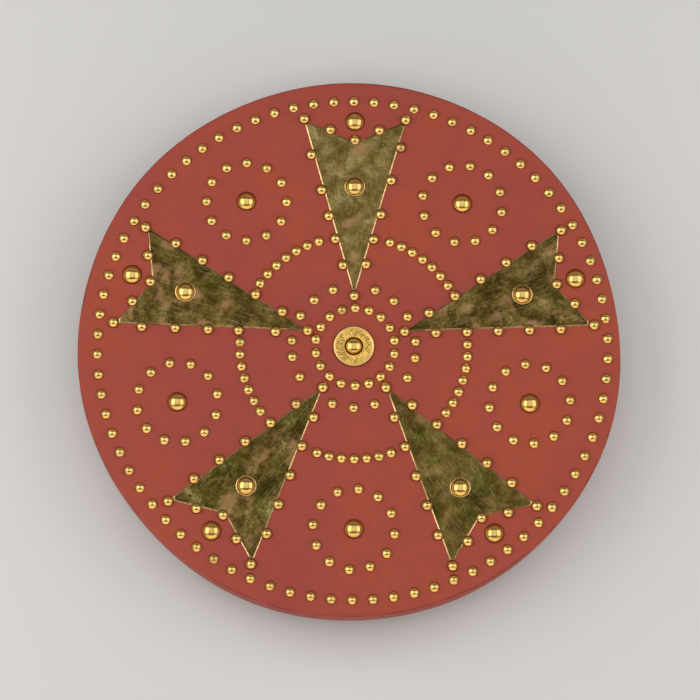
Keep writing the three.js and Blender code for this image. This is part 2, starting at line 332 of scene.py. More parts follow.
def addFloor(sizes):
    # a single flat square at height 0
    half = sizes["floorHalf"]
    corners = [(-half, -half, 0), (half, -half, 0), (half, half, 0), (-half, half, 0)]
    mesh = bpy.data.meshes.new("floor")
    mesh.from_pydata(corners, [], [(0, 1, 2, 3)])
    floor = bpy.data.objects.new("floor", mesh)
    bpy.context.collection.objects.link(floor)
    material, tree, place = startMaterial("paleFloor", Roughness=0.75, Specular_IOR_Level=0.2)
    colour = sizes["floorColour"]
    darker = tuple(part * sizes["floorPatches"] for part in colour)
    grain = noise(tree, place, 3)
    mesh.materials.append(setShader(material, Base_Color=blended(tree, grain, colour, darker)))


def addLight(name, place, size, brightness, colour):
    # a panel that faces the shield; power = brightness times pi times its area
    lamp = bpy.data.lights.new(name, "AREA")
    lamp.shape = "RECTANGLE"
    lamp.size, lamp.size_y = size
    lamp.energy = brightness * math.pi * size[0] * size[1]
    lamp.color = colour
    light = bpy.data.objects.new(name, lamp)
    light.location = place
    light.rotation_euler = (-Vector(place)).to_track_quat("-Z", "Y").to_euler()
    light.visible_camera = False
    bpy.context.collection.objects.link(light)


def addCamera(sizes):
    away = Vector(sizes["away"]).normalized()
    middle = Vector((*patternCentre, faceLevel)) * mm
    aim = middle + Vector((*sizes["aim"], 0)) * mm
    place = middle + away * sizes["distance"]
    back = (place - aim).normalized()
    right = Vector(sizes["up"]).cross(back).normalized()
    upwards = back.cross(right)
    camera = bpy.data.objects.new("camera", bpy.data.cameras.new("camera"))
    camera.data.lens = sizes["lens"]
    turn = Matrix((right, upwards, back)).transposed().to_4x4()
    camera.matrix_world = Matrix.Translation(place) @ turn
    bpy.context.collection.objects.link(camera)
    bpy.context.scene.camera = camera


addFloor(stageSizes)
addCamera(cameraSizes)
for name, settings in stageSizes["lights"].items():
    addLight(name, *settings)
world = bpy.data.worlds.new("studio")
world.use_nodes = True
grey = stageSizes["worldGrey"]
world.node_tree.nodes["Background"].inputs["Color"].default_value = (grey, grey, grey, 1)
bpy.context.scene.world = world
bpy.context.scene.view_settings.view_transform = "Standard"
print("floor, camera and lights placed")


# Leather cover

cover = {
    "thickness": 2.2,
    "rimRound": 2.2,
    "lipWidth": 26,
    "columns": 720,
    "wallRows": 24,
    "underRadii": (90, 180),  # of the rows on the underside
    "closeRows": (238, 5),  # radius to which the face's rows stand close, and their number
    "wideRows": (234, 6, 26),  # first and last radius of the others, and their number
    "undulation": 0.08,  # of the face, up and down
    "undulationFade": (236, 220),  # radii between which it grows from nothing
    "ridge": 0.2,  # height of the ridges that run round the wall
    "ridgeSpacing": 6.6,
    "fold": 0.07,  # height of the fine folds across them
    "creaseDepth": 0.35,
    "creaseWidth": 0.75,
    "pleats": 54,
    "pleatHeight": 0.9,  # where the leather is gathered on the back
    "cutWave": 1.1,  # how far the trimmed inner edge wanders
    "cutFrom": 18,  # distance from the rim at which it begins to
    "bulge": 0.35,  # of the wall
    "hem": 8,  # height of the browner band at the wall's foot
    "paleLine": 1.2,  # height of the pale line there, a painted highlight
}
outline = {  # count of waves round the rim, height, and place of a peak in degrees
    "waves": (
        (1, 0.7, 270), (2, 1.2, 89), (3, 0.6, 306), (4, 0.55, 335), (5, 0.55, 337), (7, 0.45, 347),
    ),
    "offset": 0.95,
    "fadeFrom": 190,  # the radius inside which nothing moves
    "fadeTo": 246,
}


def handCut(points):
    # moves the rim as a hand-cut disc has it: offset + sum of height cos(count (angle - place))
    radius = np.hypot(points[..., 0], points[..., 1])
    angle = np.arctan2(points[..., 1], points[..., 0])
    count, height, place = np.array(outline["waves"]).T
    sway = height * np.cos(count * (angle[..., None] - np.radians(place)))
    out = outline["offset"] + sway.sum(-1)
    out = out * smoothStep(radius, outline["fadeFrom"], outline["fadeTo"])
    scale = 1 + out / np.maximum(radius, 1)
    return points * together(scale, scale, 1)


def leatherMaterial():
    # brick red with soft purplish and orange clouds and fine pores; painted shade in the crease along
    # the upper corner and in the hollows between the wall's ridges, browner towards the wall's foot,
    # and a pale line at its edge that is a painted highlight
    material, tree, place = startMaterial("redLeather", Specular_IOR_Level=0.25)
    clouds = noise(tree, place, 9, 5, 0.6, 0.4)
    colour = ramp(tree, clouds, [
        (0.32, (0.385, 0.066, 0.048)),
        (0.5, (0.415, 0.072, 0.042)),
        (0.7, (0.45, 0.078, 0.035)),
    ])
    mottle = noise(tree, place, 95, 5, 0.65, 0.2)
    specks = noise(tree, place, 620, 2)
    # breaks up the marks below, which include painted shade and a painted highlight
    markPatches = rescale(tree, noise(tree, place, 160, 4, 0.6), 0.3, 0.6, 0.35, 1)
    marks = {
        # painted shade in the hollows between the wall's ridges
        "streak": (0.23, 0.05, 0.042),
        "hem": (0.36, 0.09, 0.058),
        # a painted highlight: the pale line at the wall's foot
        "rim": (0.48, 0.2, 0.165),
        # painted shade in the groove of the crease
        "crease": (0.12, 0.03, 0.025),
    }
    colour = layered(tree, colour, [
        (rescale(tree, mottle, 0.38, 0.66, 0, 0.35), (0.345, 0.064, 0.052)),
        (rescale(tree, specks, 0.62, 0.74, 0, 0.25), (0.25, 0.05, 0.045)),
        *((times(tree, pieceValue(tree, key), markPatches), mark) for key, mark in marks.items()),
        (pieceValue(tree, "behind"), (0.24, 0.07, 0.048)),
    ])
    creases = noise(tree, stretched(tree, place, (1, 1, 2.4)), 330, 6, 0.6, 1.2)
    normal = bump(tree, cells(tree, place, 800), 0.00008, 0.5)
    normal = bump(tree, creases, 0.00016, 0.5, normal)
    sheen = rescale(tree, noise(tree, place, 42, 4), 0.3, 0.7, 0.5, 0.62)
    return setShader(material, Base_Color=colour, Roughness=sheen, Normal=normal)


def coverProfile(sizes, radius, lipLevel):
    # (radius, height) from the underside's middle out, down, in under the lip and back over the face,
    # and the row at which each of these parts ends
    thick, rim = sizes["thickness"], sizes["rimRound"]
    inside, outside, lipInner = radius - thick, radius - rim, radius - sizes["lipWidth"]
    under, over = faceLevel - thick, lipLevel + thick
    bend = np.linspace(0, np.pi / 2, 9)
    corner = np.linspace(0, np.pi / 2, 13)
    turnIn = np.linspace(lipInner + 1, outside, 16)
    wallHeights = np.linspace(lipLevel + rim, faceLevel - rim, sizes["wallRows"])
    closeRadii = np.linspace(outside, *sizes["closeRows"])
    faceRadii = np.concatenate([closeRadii, np.linspace(*sizes["wideRows"])])[1:]
    parts = [
        [(r, under) for r in (*sizes["underRadii"], inside)],
        [(inside, over)],
        [(lipInner + 6, over), (lipInner + 0.7, over)],
        [(lipInner, lipLevel + thick * 0.7), (lipInner, lipLevel + thick * 0.35)],
        together(turnIn, lipLevel),
        together(outside + rim * np.sin(bend), lipLevel + rim - rim * np.cos(bend))[1:],
        together(radius, wallHeights)[1:-1],
        together(outside + rim * np.cos(corner), faceLevel - rim + rim * np.sin(corner)),
        together(faceRadii, faceLevel),
    ]
    return np.vstack(parts), np.cumsum([len(part) for part in parts])


def coverSolid(sizes, radius, lipLevel):
    # each profile point is moved along its normal by ridges round the wall, a broken crease along the
    # upper corner, pleats on the lip and slow waves on the face; the lip's inner edge wanders
    profile, ends = coverProfile(sizes, radius, lipLevel)
    row = np.arange(len(profile))[:, None]
    normal = normals(profile)
    angles = circle(sizes["columns"])
    r, z = profile[:, :1], profile[:, 1:]
    lipInner = radius - sizes["lipWidth"]
    onLip = (row >= ends[2]) & (row < ends[4])
    outer = (row >= ends[3]) & (row < ends[7])
    middle, halfHeight = (faceLevel + lipLevel) / 2, (faceLevel - lipLevel) / 2
    onWall = outer * smoothStep(r, radius - 2.5, radius - 0.3)
    onWall = onWall * smoothStep(halfHeight - abs(z - middle), 0, 4)
    drift = 2.2 * waves(angles, [2, 3, 7, 12], 9) + 0.7 * waves(angles, [19, 31, 43], 10)
    ridges = np.cos(2 * np.pi * (z - middle) / sizes["ridgeSpacing"] + drift)
    ridges = ridges * (0.55 + 0.45 * waves(angles, [5, 9, 14, 22], 4))
    folds = waves(angles + 0.012 * np.sin(z / 2.6 + 1), [131, 173, 211, 247, 290], 7)
    shift = onWall * (sizes["ridge"] * ridges + sizes["fold"] * folds)
    bulge = sizes["bulge"] * (1 - ((z - middle) / halfHeight) ** 2)
    shift = shift + outer * smoothStep(r, radius - 1, radius) * bulge
    fromCorner = (r - radius) - (z - faceLevel)  # 0 on the line halfway round the upper corner
    creaseAt = 0.8 * waves(angles, [4, 9, 15, 26], 6)
    broken = smoothStep(waves(angles, [3, 8, 13, 29, 47], 16), -0.5, 0.3)
    crease = np.exp(-(((fromCorner - creaseAt) / sizes["creaseWidth"]) ** 2))
    crease = crease * broken * outer * (z > middle)
    shift = shift - sizes["creaseDepth"] * crease
    wander = angles + 0.022 * waves(angles, [2, 5, 9, 14], 11)
    pleat = np.clip(np.cos(wander * sizes["pleats"]), 0, 1) ** 1.6
    pleat = pleat * (0.55 + 0.45 * waves(angles, [7, 11, 17], 12))
    shift = shift + sizes["pleatHeight"] * onLip * smoothStep(r, radius - 6, lipInner) * pleat
    face = (row >= ends[7]) * smoothStep(r, *sizes["undulationFade"])
    slow = ripples(r * np.cos(angles), r * np.sin(angles), 70, 5)
    lift = shift * normal[:, 1:] + sizes["undulation"] * face * slow
    cut = sizes["cutWave"] * waves(angles, [6, 9, 15, 23, 34], 15)
    cut = cut * smoothStep(r, radius - sizes["cutFrom"], lipInner)
    radial = r + shift * normal[:, :1] + cut * ((row >= ends[1]) & (row < ends[4]))
    rings = handCut(aroundAxis(radial, angles, z + lift))
    paleLine = lipLevel + sizes["paleLine"]
    return *closedRings(rings), onRings({
        # painted shade where the wall's ridges dip
        "streak": onWall * (0.35 - 0.55 * np.clip(ridges, -1, 1)).clip(0, 1),
        "hem": 0.6 * outer * smoothStep(lipLevel + sizes["hem"] - z, 0, 5),
        # painted highlight along the wall's foot
        "rim": 0.6 * outer * np.exp(-(((z - paleLine) / 0.9) ** 2)),
        # painted shade along the crease's groove
        "crease": 0.8 * crease,
        "behind": 0.6 * smoothStep(paleLine - z, 0, 1),
    }, rings)


coverLow, coverHigh = nodeBox("leather_cover")
shieldRadius = coverHigh[0]
points, faces, values = coverSolid(cover, shieldRadius, coverLow[2])
addPiece("leatherCover", points, faces, leatherMaterial(), "face_leather", ["leather_cover"],
         values=values)
print("leather cover made:", len(points), "points")


# Small tacks

tack = {
    "sides": 12,
    "profile": ((5.3, -0.25), (4.85, 0.42), (4, 1.35), (2.5, 2.76), (1, 3.62)),
    "top": 3.85,
    "sharpAngle": 75,
    "tilt": 0.05,  # how far one leans, as rise over run
    "spread": 0.06,  # of heights, as a share
    "wear": 0.22,
    "dullWear": 0.35,  # added to that of the dull ones
    "dullShare": 0.02,
    "below": 3.9,  # how far the foot of one on a plate is below the tack's top in the CAD part
    "cadFlat": 2.8,  # radius of the flat top there
}
ringLimits = {  # radii from the middle of the pattern between which a ring's tacks stand
    "outerRingTacks": (225, 250),
    "innerRingTacks": (0, 45),
    "secondRingTacks": (45, 75),
    "middleRingTacks": (101, 109),
}
smallRings = {
    "names": ("upper_left", "left", "bottom", "right", "upper_right"),
    "limits": (112, 225),
    "reach": 40,  # from the middle of the ring
}


def brassMaterial(name, colour, dull, roughness):
    # polished brass that is darker low down, dirt together with painted contact shade, and dull where
    # "worn" is high
    material, tree, place = startMaterial(name, Metallic=1)
    worn, low = pieceValue(tree, "worn"), rescale(tree, pieceValue(tree, "rise"), 0.3, 0.08)
    stains = noise(tree, place, 260, 4, 0.6, 0.6)
    tarnish = plus(tree, rescale(tree, stains, 0.52, 0.74, 0, 0.45), times(tree, worn, 0.85))
    # low: dirt with painted contact shade, darkest at the foot of each head
    base = layered(tree, colour, [(tarnish, dull), (low, (0.22, 0.05, 0.014))])
    rough = rescale(tree, stains, 0.35, 0.75, roughness, roughness + 0.1)
    rough = plus(tree, plus(tree, rough, times(tree, worn, 0.22)), times(tree, low, 0.4))
    turned = stretched(tree, place, (900, 260, 900), rotation=(0, 0, 0.5))
    normal = bump(tree, noise(tree, turned, 1, 3), 0.00003, 0.35)
    return setShader(material, Base_Color=base, Roughness=rough, Normal=normal)


def tackPlaces(name, topLevel):
    # the flat tops at the highest level of a CAD node: each corner's neighbours within one top are
    # averaged, which gives the same middle for all the corners of a top
    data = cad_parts[name].data
    points = np.empty(len(data.vertices) * 3)
    data.vertices.foreach_get("co", points)
    points = points.reshape(-1, 3) / mm
    corners = np.unique(np.round(points[points[:, 2] > topLevel - 0.05, :2], 2), axis=0)
    near = np.linalg.norm(corners[:, None] - corners, axis=-1) < 2 * tack["cadFlat"]
    middles = near.astype(float) @ corners / near.sum(1, keepdims=True)
    return np.unique(np.round(middles, 1), axis=0)


def addTacks(name, centres, level, seed):
    # copies of one turned head, each leaning a little and a little higher or lower than the next
    rng = np.random.default_rng(seed)
    one, faces = turnedSolid(tack["profile"], tack["sides"])
    one[-1, 2] = tack["top"]
    count, tilt, spread = len(centres), tack["tilt"], tack["spread"]
    lean = rng.normal(0, tilt / 2, (count, 1, 2)).clip(-tilt, tilt)
    taller = rng.normal(0, spread / 2, (count, 1)).clip(-spread, spread)
    many = np.repeat(one[None], count, 0)
    many[..., 2] += np.clip(one[:, 2], 0, None) * taller + (one[:, :2] * lean).sum(-1) + level
    many[..., :2] += centres[:, None]
    worn = rng.uniform(0, tack["wear"], count)
    worn = worn + tack["dullWear"] * (rng.random(count) < tack["dullShare"])
    # rise darkens the lowest part of each head: dirt with painted contact shade
    values = {"worn": np.repeat(worn, len(one)), "rise": np.tile(one[:, 2] / tack["top"], count)}
    addPiece(name, many, copiedFaces(faces, count, len(one)), tackBrass, "polished_brass",
             sharpAngle=tack["sharpAngle"], values=values)


def between(numbers, low, high):
    return (numbers > low) & (numbers < high)


tackBrass = brassMaterial("tackBrass", (0.93, 0.63, 0.2), (0.36, 0.21, 0.08), 0.12)
leatherTacks = tackPlaces("leather_cover", coverHigh[2])
tackRadius = np.linalg.norm(leatherTacks - patternCentre, axis=1)
tackGroups = {name: between(tackRadius, *limits) for name, limits in ringLimits.items()}
for name in smallRings["names"]:
    toRing = np.linalg.norm(leatherTacks - nodeFoot(f"ring_stud_{name}")[:2], axis=1)
    chosen = (toRing < smallRings["reach"]) & between(tackRadius, *smallRings["limits"])
    tackGroups[f"smallRingTacks_{name}"] = chosen
for i, (name, chosen) in enumerate(tackGroups.items()):
    addTacks(name, leatherTacks[chosen], faceLevel, 20 + i)
    print(name, chosen.sum())


# Brass plates

plate = {
    "outset": 2.2,  # tacks stand this far outside the plate's edge
    "thickness": 1,
    "sunk": 0.15,  # into the leather
    "cutCorner": 3,  # length cut off each wing's corner
    "startWidth": 2,  # distance from the tip to the first row
    "edgeInsets": (0, 0.45, 1.15),  # from the edge inwards
    "edgeDrops": (0.68, 0.34, 0),  # below the sheet's top
    "columns": 44,
    "rows": 110,
    "unevenness": 0.16,
    "dimple": 0.16,  # depth beside a tack
    "dimpleReach": 8,
}
plateLooks = {  # paleness, contrast, copper blotches, green patches
    "top": (0.068, 0.6, 0.8, 0.15),
    "upper_left": (0.004, 0.8, 0.75, 0.5),
    "lower_left": (0.002, 0.9, 0.6, 0.6),
    "lower_right": (0.014, 0.65, 0.34, 0.9),
    "upper_right": (-0.013, 0.9, 0.75, 0.4),
}


def plateMaterial(name, seed, pale, contrast, pink, green):
    # patinated sheet: mottled from dark brown to pale olive, coarse and fine, with greenish patches and
    # soft copper-pink blotches, pale scratches in several directions, and pits with a bright middle
    material, tree = startMaterial(f"plateBrass_{name}", Metallic=1)[:2]
    flat = addNode(tree, "UVMap", uv_map="flat").outputs["UV"]
    place = stretched(tree, flat, (1, 1, 1), (seed * 1.7, seed * 0.9, seed * 0.3))
    clouds = noise(tree, place, 58, 3, 0.5, 0.8)
    speckle = noise(tree, place, 340, 5, 0.8, 0.6)
    mixed = plus(tree, times(tree, clouds, 0.48), times(tree, speckle, 0.52))
    tone = plus(tree, times(tree, mixed, contrast), 0.5 * (1 - contrast) + pale)
    colour = ramp(tree, tone, [
        (0.38, (0.03, 0.019, 0.004)),
        (0.48, (0.1, 0.065, 0.013)),
        (0.56, (0.2, 0.138, 0.036)),
        (0.65, (0.45, 0.35, 0.145)),
    ])
    patches = rescale(tree, noise(tree, place, 34, 3), 0.5, 0.64, 0, green)
    colour = blended(tree, patches, colour, (0.62, 0.9, 0.55), "MULTIPLY")
    blotches = noise(tree, place, 56, 2, 0.5, 0.2)
    blotches = rescale(tree, blotches, 0.53, 0.72, 0, pink)
    blotches = times(tree, blotches, rescale(tree, speckle, 0.34, 0.56, 0.55, 1))
    layers = [(blotches, (0.46, 0.255, 0.115))]
    for turn, sparse in ((0.1, 0.64), (0.9, 0.66), (-0.7, 0.66), (1.45, 0.67)):
        turned = stretched(tree, place, (1100, 55, 1), rotation=(0, 0, turn))
        lines = rescale(tree, noise(tree, turned, 1, 2, 0.5), sparse, sparse + 0.06, 0, 0.45)
        layers.append((lines, (0.42, 0.33, 0.17)))
    pits = cells(tree, place, 62)
    layers.append((rescale(tree, pits, 0.105, 0.075, 0, 0.8), (0.03, 0.02, 0.008)))
    layers.append((rescale(tree, pits, 0.05, 0.03, 0, 0.9), (0.85, 0.68, 0.42)))
    rough = rescale(tree, speckle, 0.3, 0.7, 0.3, 0.46)
    hollows = plus(tree, speckle, rescale(tree, pits, 0.05, 0.1, -0.4, 0))
    normal = bump(tree, hollows, 0.00012, 0.6)
    colour = layered(tree, colour, layers)
    return setShader(material, Base_Color=colour, Roughness=rough, Normal=normal)


def edgeMaterial():
    # the filed edge of a plate, bright where the sheet's face is dull
    material, tree, place = startMaterial("plateEdge", Metallic=1)
    rub = noise(tree, place, 420, 4)
    colour = ramp(tree, rub, [(0.3, (0.5, 0.28, 0.1)), (0.7, (0.92, 0.62, 0.3))])
    dull = rescale(tree, noise(tree, place, 24, 2), 0.38, 0.5, 0.7, 0)
    colour = blended(tree, dull, colour, (0.14, 0.09, 0.025))
    rough = rescale(tree, rub, 0.3, 0.7, 0.28, 0.16)
    return setShader(material, Base_Color=colour, Roughness=rough)


def plateShape(sizes, tacks, centre):
    # where the plate is, from its tacks: the tip's tack is nearest the middle, the wings' are farthest
    # from the tip, and the notch's is the last one on the axis between them
    tip = tacks[np.argmin(np.linalg.norm(tacks - centre, axis=1))]
    wings = tacks[np.argsort(np.linalg.norm(tacks - tip, axis=1))[-2:]]
    axis = wings.mean(0) - tip
    axis /= np.linalg.norm(axis)
    side = np.array([axis[1], -axis[0]])
    across, along = (tacks - tip) @ side, (tacks - tip) @ axis
    wingAcross = abs((wings - tip) @ side).mean()
    wingAlong = ((wings - tip) @ axis).mean() - sizes["outset"]
    notchAlong = along[abs(across) < 1].max() - sizes["outset"]
    return tip, axis, side, wingAcross, wingAlong, notchAlong


def plateSurface(sizes, shape, tacks, level, seed):
    # rows run out from the tip and columns are shares of the width. The far edge is the nearer of the
    # notch's arm and the line that cuts the wing's corner, where the ray from the tip meets them. The
    # outermost columns and rows stand at fixed distances from the edge and fall to round it
    tip, axis, side, wingAcross, wingAlong, notchAlong = shape
    insets, drops = np.array(sizes["edgeInsets"]), np.array(sizes["edgeDrops"])
    share = np.linspace(-1, 1, sizes["columns"])
    u = np.concatenate([[-1, -1], share, [1, 1]])
    insetAcross = np.concatenate([insets[:2], np.full(len(share), insets[2]), insets[1::-1]])
    dropAcross = np.concatenate([drops[:2], 0 * share, drops[1::-1]])
    slope, arm = wingAcross / wingAlong, (wingAlong - notchAlong) / wingAcross
    inwards = math.hypot(1, arm)
    corner = np.array([wingAcross, wingAlong])
    onEdge = corner - sizes["cutCorner"] * corner / np.linalg.norm(corner)
    onArm = corner - sizes["cutCorner"] * np.array([1, arm]) / inwards
    cutSlope = (onEdge[1] - onArm[1]) / (onEdge[0] - onArm[0])
    ray = abs(u) * slope
    toArm = notchAlong / (1 - arm * ray)
    toCut = (onArm[1] - cutSlope * onArm[0]) / (1 - cutSlope * ray)
    far = np.minimum(toArm, toCut)
    v = np.linspace(0, 1, sizes["rows"])[:, None]
    start = sizes["startWidth"]
    y = start + v * (far - insets[2] * inwards - start)
    y = np.vstack([y, far - insets[1] * inwards, far])
    dropAlong = np.append(0 * v, drops[1::-1])[:, None]
    half = y * slope
    x = u * (half - np.minimum(insetAcross, 0.4 * half))
    flat = tip + x[..., None] * side + y[..., None] * axis
    away = np.linalg.norm(flat[:, :, None] - tacks, axis=-1)
    dimples = np.exp(-((away / sizes["dimpleReach"]) ** 2)).sum(-1)
    waviness = ripples(x, y, 38, seed) + 0.45 * ripples(x, y, 14, seed + 50)
    waviness = waviness * (0.35 + 0.65 * smoothStep(half - abs(x), 0, 6))
    top = level + sizes["thickness"] - np.maximum(dropAlong, dropAcross)
    top = top + sizes["unevenness"] * waviness - sizes["dimple"] * dimples
    return np.dstack([flat, top]), together(x, y)


plateEdge = edgeMaterial()
for seed, (name, look) in enumerate(plateLooks.items(), 1):
    node = f"plate_{name}"
    level, topLevel = (corner[2] for corner in nodeBox(node))
    places = tackPlaces(node, topLevel)
    shape = plateShape(plate, places, patternCentre)
    surface, flat = plateSurface(plate, shape, places, level, 60 + seed)
    points, faces = closedSlab(surface, level - plate["sunk"])
    brass = plateMaterial(name, seed, *look)
    sheet = addPiece(f"brassPlate_{name}", points, faces, brass, "plate_brass", [node])
    sheet.data.materials.append(plateEdge)
    onEdge = np.zeros(np.subtract(flat.shape[:2], 1), np.int32)
    onEdge[:, :2] = onEdge[:, -2:] = onEdge[-2:] = 1
    kinds = np.append(onEdge, np.ones(len(faces) - onEdge.size, np.int32))
    sheet.data.polygons.foreach_set("material_index", kinds)
    addFlatMap(sheet, np.vstack([flat.reshape(-1, 2), rimOf(flat)]))
    addTacks(f"plateTacks_{name}", places, topLevel - tack["below"], 80 + seed)
    print(f"plate {name} made with {len(places)} tacks")


# Large studs

stud = {
    "sides": 40,
    "ridge": 8.9,  # radius of the flange's highest line
    "rim": ((8.9, -0.1), (9.2, -0.05), (9.3, 0.02), (8.9, 0.26), (8.275, 0.2)),  # radius, height
    "foot": 7.65,  # radius where the flank meets the flange
    "footLevel": 0.6,
    "height": 4.8,
    "ball": 8.8,  # radius of the ball whose cap tops the stud
    "capRadius": 6.4,  # where the cap meets the straight flank
    "bands": 14,
    "clearOfDirtAndShade": 0.04,  # added to "rise", the share of the height at a point
    "plateFlangeClear": 0.4,  # "rise" of the flange on a plate, which wear keeps bright; elsewhere the flange is darkened, dirt with painted shade
    "lean": 0.018,
    "wear": 0.15,
}
centreStud = {
    **stud, "rim": ((6.5, -0.4),), "foot": 7, "footLevel": 0.5, "height": 4.7, "ball": 8.6,
    "capRadius": 5.9, "clearOfDirtAndShade": 0.16,
}


def studSolid(sizes):
    # the rim's profile, a straight flank from the foot to the cap, and the cap, whose height at
    # radius r is top - ball + sqrt(ball^2 - r^2)
    r = sizes["capRadius"] * np.linspace(1, 0, sizes["bands"] + 1)[:-1]
    cap = together(r, sizes["height"] - sizes["ball"] + np.sqrt(sizes["ball"] ** 2 - r**2))
    foot = np.array([sizes["foot"], sizes["footLevel"]])
    profile = np.vstack([sizes["rim"], foot, (foot + cap[0]) / 2, cap])
    points, faces = turnedSolid(profile, sizes["sides"])
    points[-1, 2] = sizes["height"]
    return points, faces, sizes["clearOfDirtAndShade"] + points[:, 2] / sizes["height"]


studBrass = brassMaterial("studBrass", (0.93, 0.62, 0.18), (0.38, 0.22, 0.08), 0.12)
studPoints, studFaces, studRise = studSolid(stud)
fromAxis = np.hypot(*studPoints[:, :2].T)
studNodes = [name for name in sorted(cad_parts) if "_stud_" in name]
for i, name in enumerate(studNodes):
    rng = np.random.default_rng(100 + i)
    lean = rng.uniform(-stud["lean"], stud["lean"], 2)
    placed = studPoints + nodeFoot(name)
    placed[:, 2] += studPoints[:, :2] @ lean
    worn = np.full(len(studPoints), rng.uniform(0, stud["wear"]))
    # outside the foot the flange gets rise 0, dirt with painted shade, except on a plate
    rise = studRise * (fromAxis < stud["foot"] + 0.01)
    rise[fromAxis > stud["ridge"] - 0.01] = stud["plateFlangeClear"] * name.startswith("plate_")
    addPiece(f"{name}Dome", placed, studFaces, studBrass, "polished_brass", [name],
             values={"worn": worn, "rise": rise})
print("large studs made:", len(studNodes))


# Centre washer with a pressed wreath, and the stud on it

washer = {
    "radius": 18.7,
    "bed": 1.4,  # height of the flat bed above its underside
    "bedRows": (5, 56),  # radius of the last one, and their number
    "rimWidth": 1.7,
    "rimHeight": 2.1,
    "patternFrom": 9,
    "groups": 16,
    "slant": 1.1,  # greatest turn of a group's strokes
    "bend": 0.09,
    "strokeSpacing": 1.9,
    "strokeDepth": 0.19,
    "columns": 540,
}


def washerSolid(sizes):
    # a rolled rim, and a bed with groups of curved parallel strokes like a wreath's leaves: depth times
    # cos(2 pi across / spacing), where across runs square to the strokes of each group
    angles, groups, bed = circle(sizes["columns"]), sizes["groups"], sizes["bed"]
    radius, rim, inner = sizes["radius"], sizes["rimWidth"], sizes["patternFrom"]
    outside = radius - rim
    roll = np.linspace(0, np.pi, 11)
    bedRadii = np.linspace(outside - 0.15, *sizes["bedRows"])
    rimHeights = bed + (sizes["rimHeight"] - bed) * np.sin(roll)
    profile = np.vstack([
        [(radius, -0.1), (radius + 0.7, 0.05), (radius + 0.1, 0.5)],
        together(radius - rim / 2 + rim / 2 * np.cos(roll), rimHeights),
        together(bedRadii, bed),
    ])
    r, z = profile[:, :1], profile[:, 1:]
    middle = (outside + inner) / 2
    share = angles * groups / (2 * np.pi) + 0.25 * np.sin(2 * (r - middle) / 3)
    group, part = np.floor(share).astype(int) % groups, share % 1 - 0.5
    along, out = part * 2 * np.pi * middle / groups, r - middle
    rng = np.random.default_rng(44)
    slant = rng.uniform(-sizes["slant"], sizes["slant"], groups)[group]
    bend = rng.uniform(-sizes["bend"], sizes["bend"], groups)[group]
    across = along * np.cos(slant) + out * np.sin(slant) + bend * (along**2 + out**2)
    within = smoothStep(r, inner, inner + 0.8) * smoothStep(outside - r, 0.2, 0.9)
    within = within * smoothStep(0.5 - abs(part), 0, 0.1)
    strokes = within * np.cos(2 * np.pi * across / sizes["strokeSpacing"])
    rings = aroundAxis(r, angles, z + sizes["strokeDepth"] * strokes)
    # rise 0 in the hub round the stud and on the low flange at the foot: dirt with painted contact
    # shade; the strokes' hollows come out a little darker
    clearOfDirtAndShade = smoothStep(r, inner - 0.6, inner + 0.1) * (z > 0.6)
    return *closedRings(rings), onRings({
        "rise": clearOfDirtAndShade * (0.36 + 0.23 * strokes),
        "worn": 0.6 * smoothStep(outside - r, -0.1, 0.3),
    }, rings)


washerBrass = brassMaterial("washerBrass", (0.98, 0.68, 0.27), (0.92, 0.6, 0.08), 0.26)
points, faces, values = washerSolid(washer)
addPiece("centreWasher", points + washerFoot, faces, washerBrass, "polished_brass",
         ["centre_washer"], values=values)
points, faces, rise = studSolid(centreStud)
addPiece("centreStudDome", points + nodeFoot("centre_stud"), faces, studBrass, "polished_brass",
         ["centre_stud"], values={"worn": 0 * rise, "rise": rise})
print("centre washer and stud made")


# Board

board = {
    "plankWidth": 104,
    "groove": 1.2,  # half its width
    "grooveDepth": 1.4,
    "grooveColumns": (-2.2, -1.6, -1, -0.5, 0, 0.5, 1, 1.6, 2.2),  # in half widths from its middle
    "planeMarks": 0.1,
    "rowCount": 110,
    "columnStep": 3.2,
}


def woodMaterial():
    # straight grain along the planks, a different tone in each one, painted shade in the joints
    material, tree, place = startMaterial("oiledWood", Specular_IOR_Level=0.3)
    plank = pieceValue(tree, "plank")
    offset = addNode(tree, "CombineXYZ", {"X": plank, "Y": times(tree, plank, 3.7), "Z": plank})
    moved = addNode(tree, "VectorMath", {0: place, 1: offset.outputs[0]}).outputs["Vector"]
    grain = noise(tree, stretched(tree, moved, (42, 2.6, 42)), 1, 6, 0.6, 1.4)
    rings = addNode(tree, "TexWave", {
        "Vector": stretched(tree, moved, (16, 1.1, 16)), "Scale": 1, "Distortion": 7,
        "Detail": 4, "Detail Scale": 1.4,
    }, wave_type="BANDS", bands_direction="X").outputs["Fac"]
    fibre = noise(tree, stretched(tree, moved, (1400, 28, 1400)), 1, 3)
    tone = noise(tree, stretched(tree, moved, (3, 0.6, 3)), 1, 2)
    colour = ramp(tree, grain, [
        (0.3, (0.145, 0.078, 0.036)),
        (0.55, (0.255, 0.15, 0.076)),
        (0.75, (0.33, 0.205, 0.11)),
    ])
    colour = layered(tree, colour, [
        (rescale(tree, rings, 0.45, 0.95, 0, 0.45), (0.135, 0.07, 0.032)),
        (rescale(tree, fibre, 0.55, 0.75, 0, 0.4), (0.09, 0.048, 0.024)),
        # painted shade in the joints' grooves
        (pieceValue(tree, "jointShade"), (0.03, 0.018, 0.01)),
        (rescale(tree, tone, 0.3, 0.7, 0, 0.3), (0.2, 0.125, 0.07)),
    ])
    normal = bump(tree, grain, 0.0002, 0.4, bump(tree, fibre, 0.0001, 0.5))
    rough = rescale(tree, grain, 0.3, 0.7, 0.62, 0.5)
    return setShader(material, Base_Color=colour, Roughness=rough, Normal=normal)


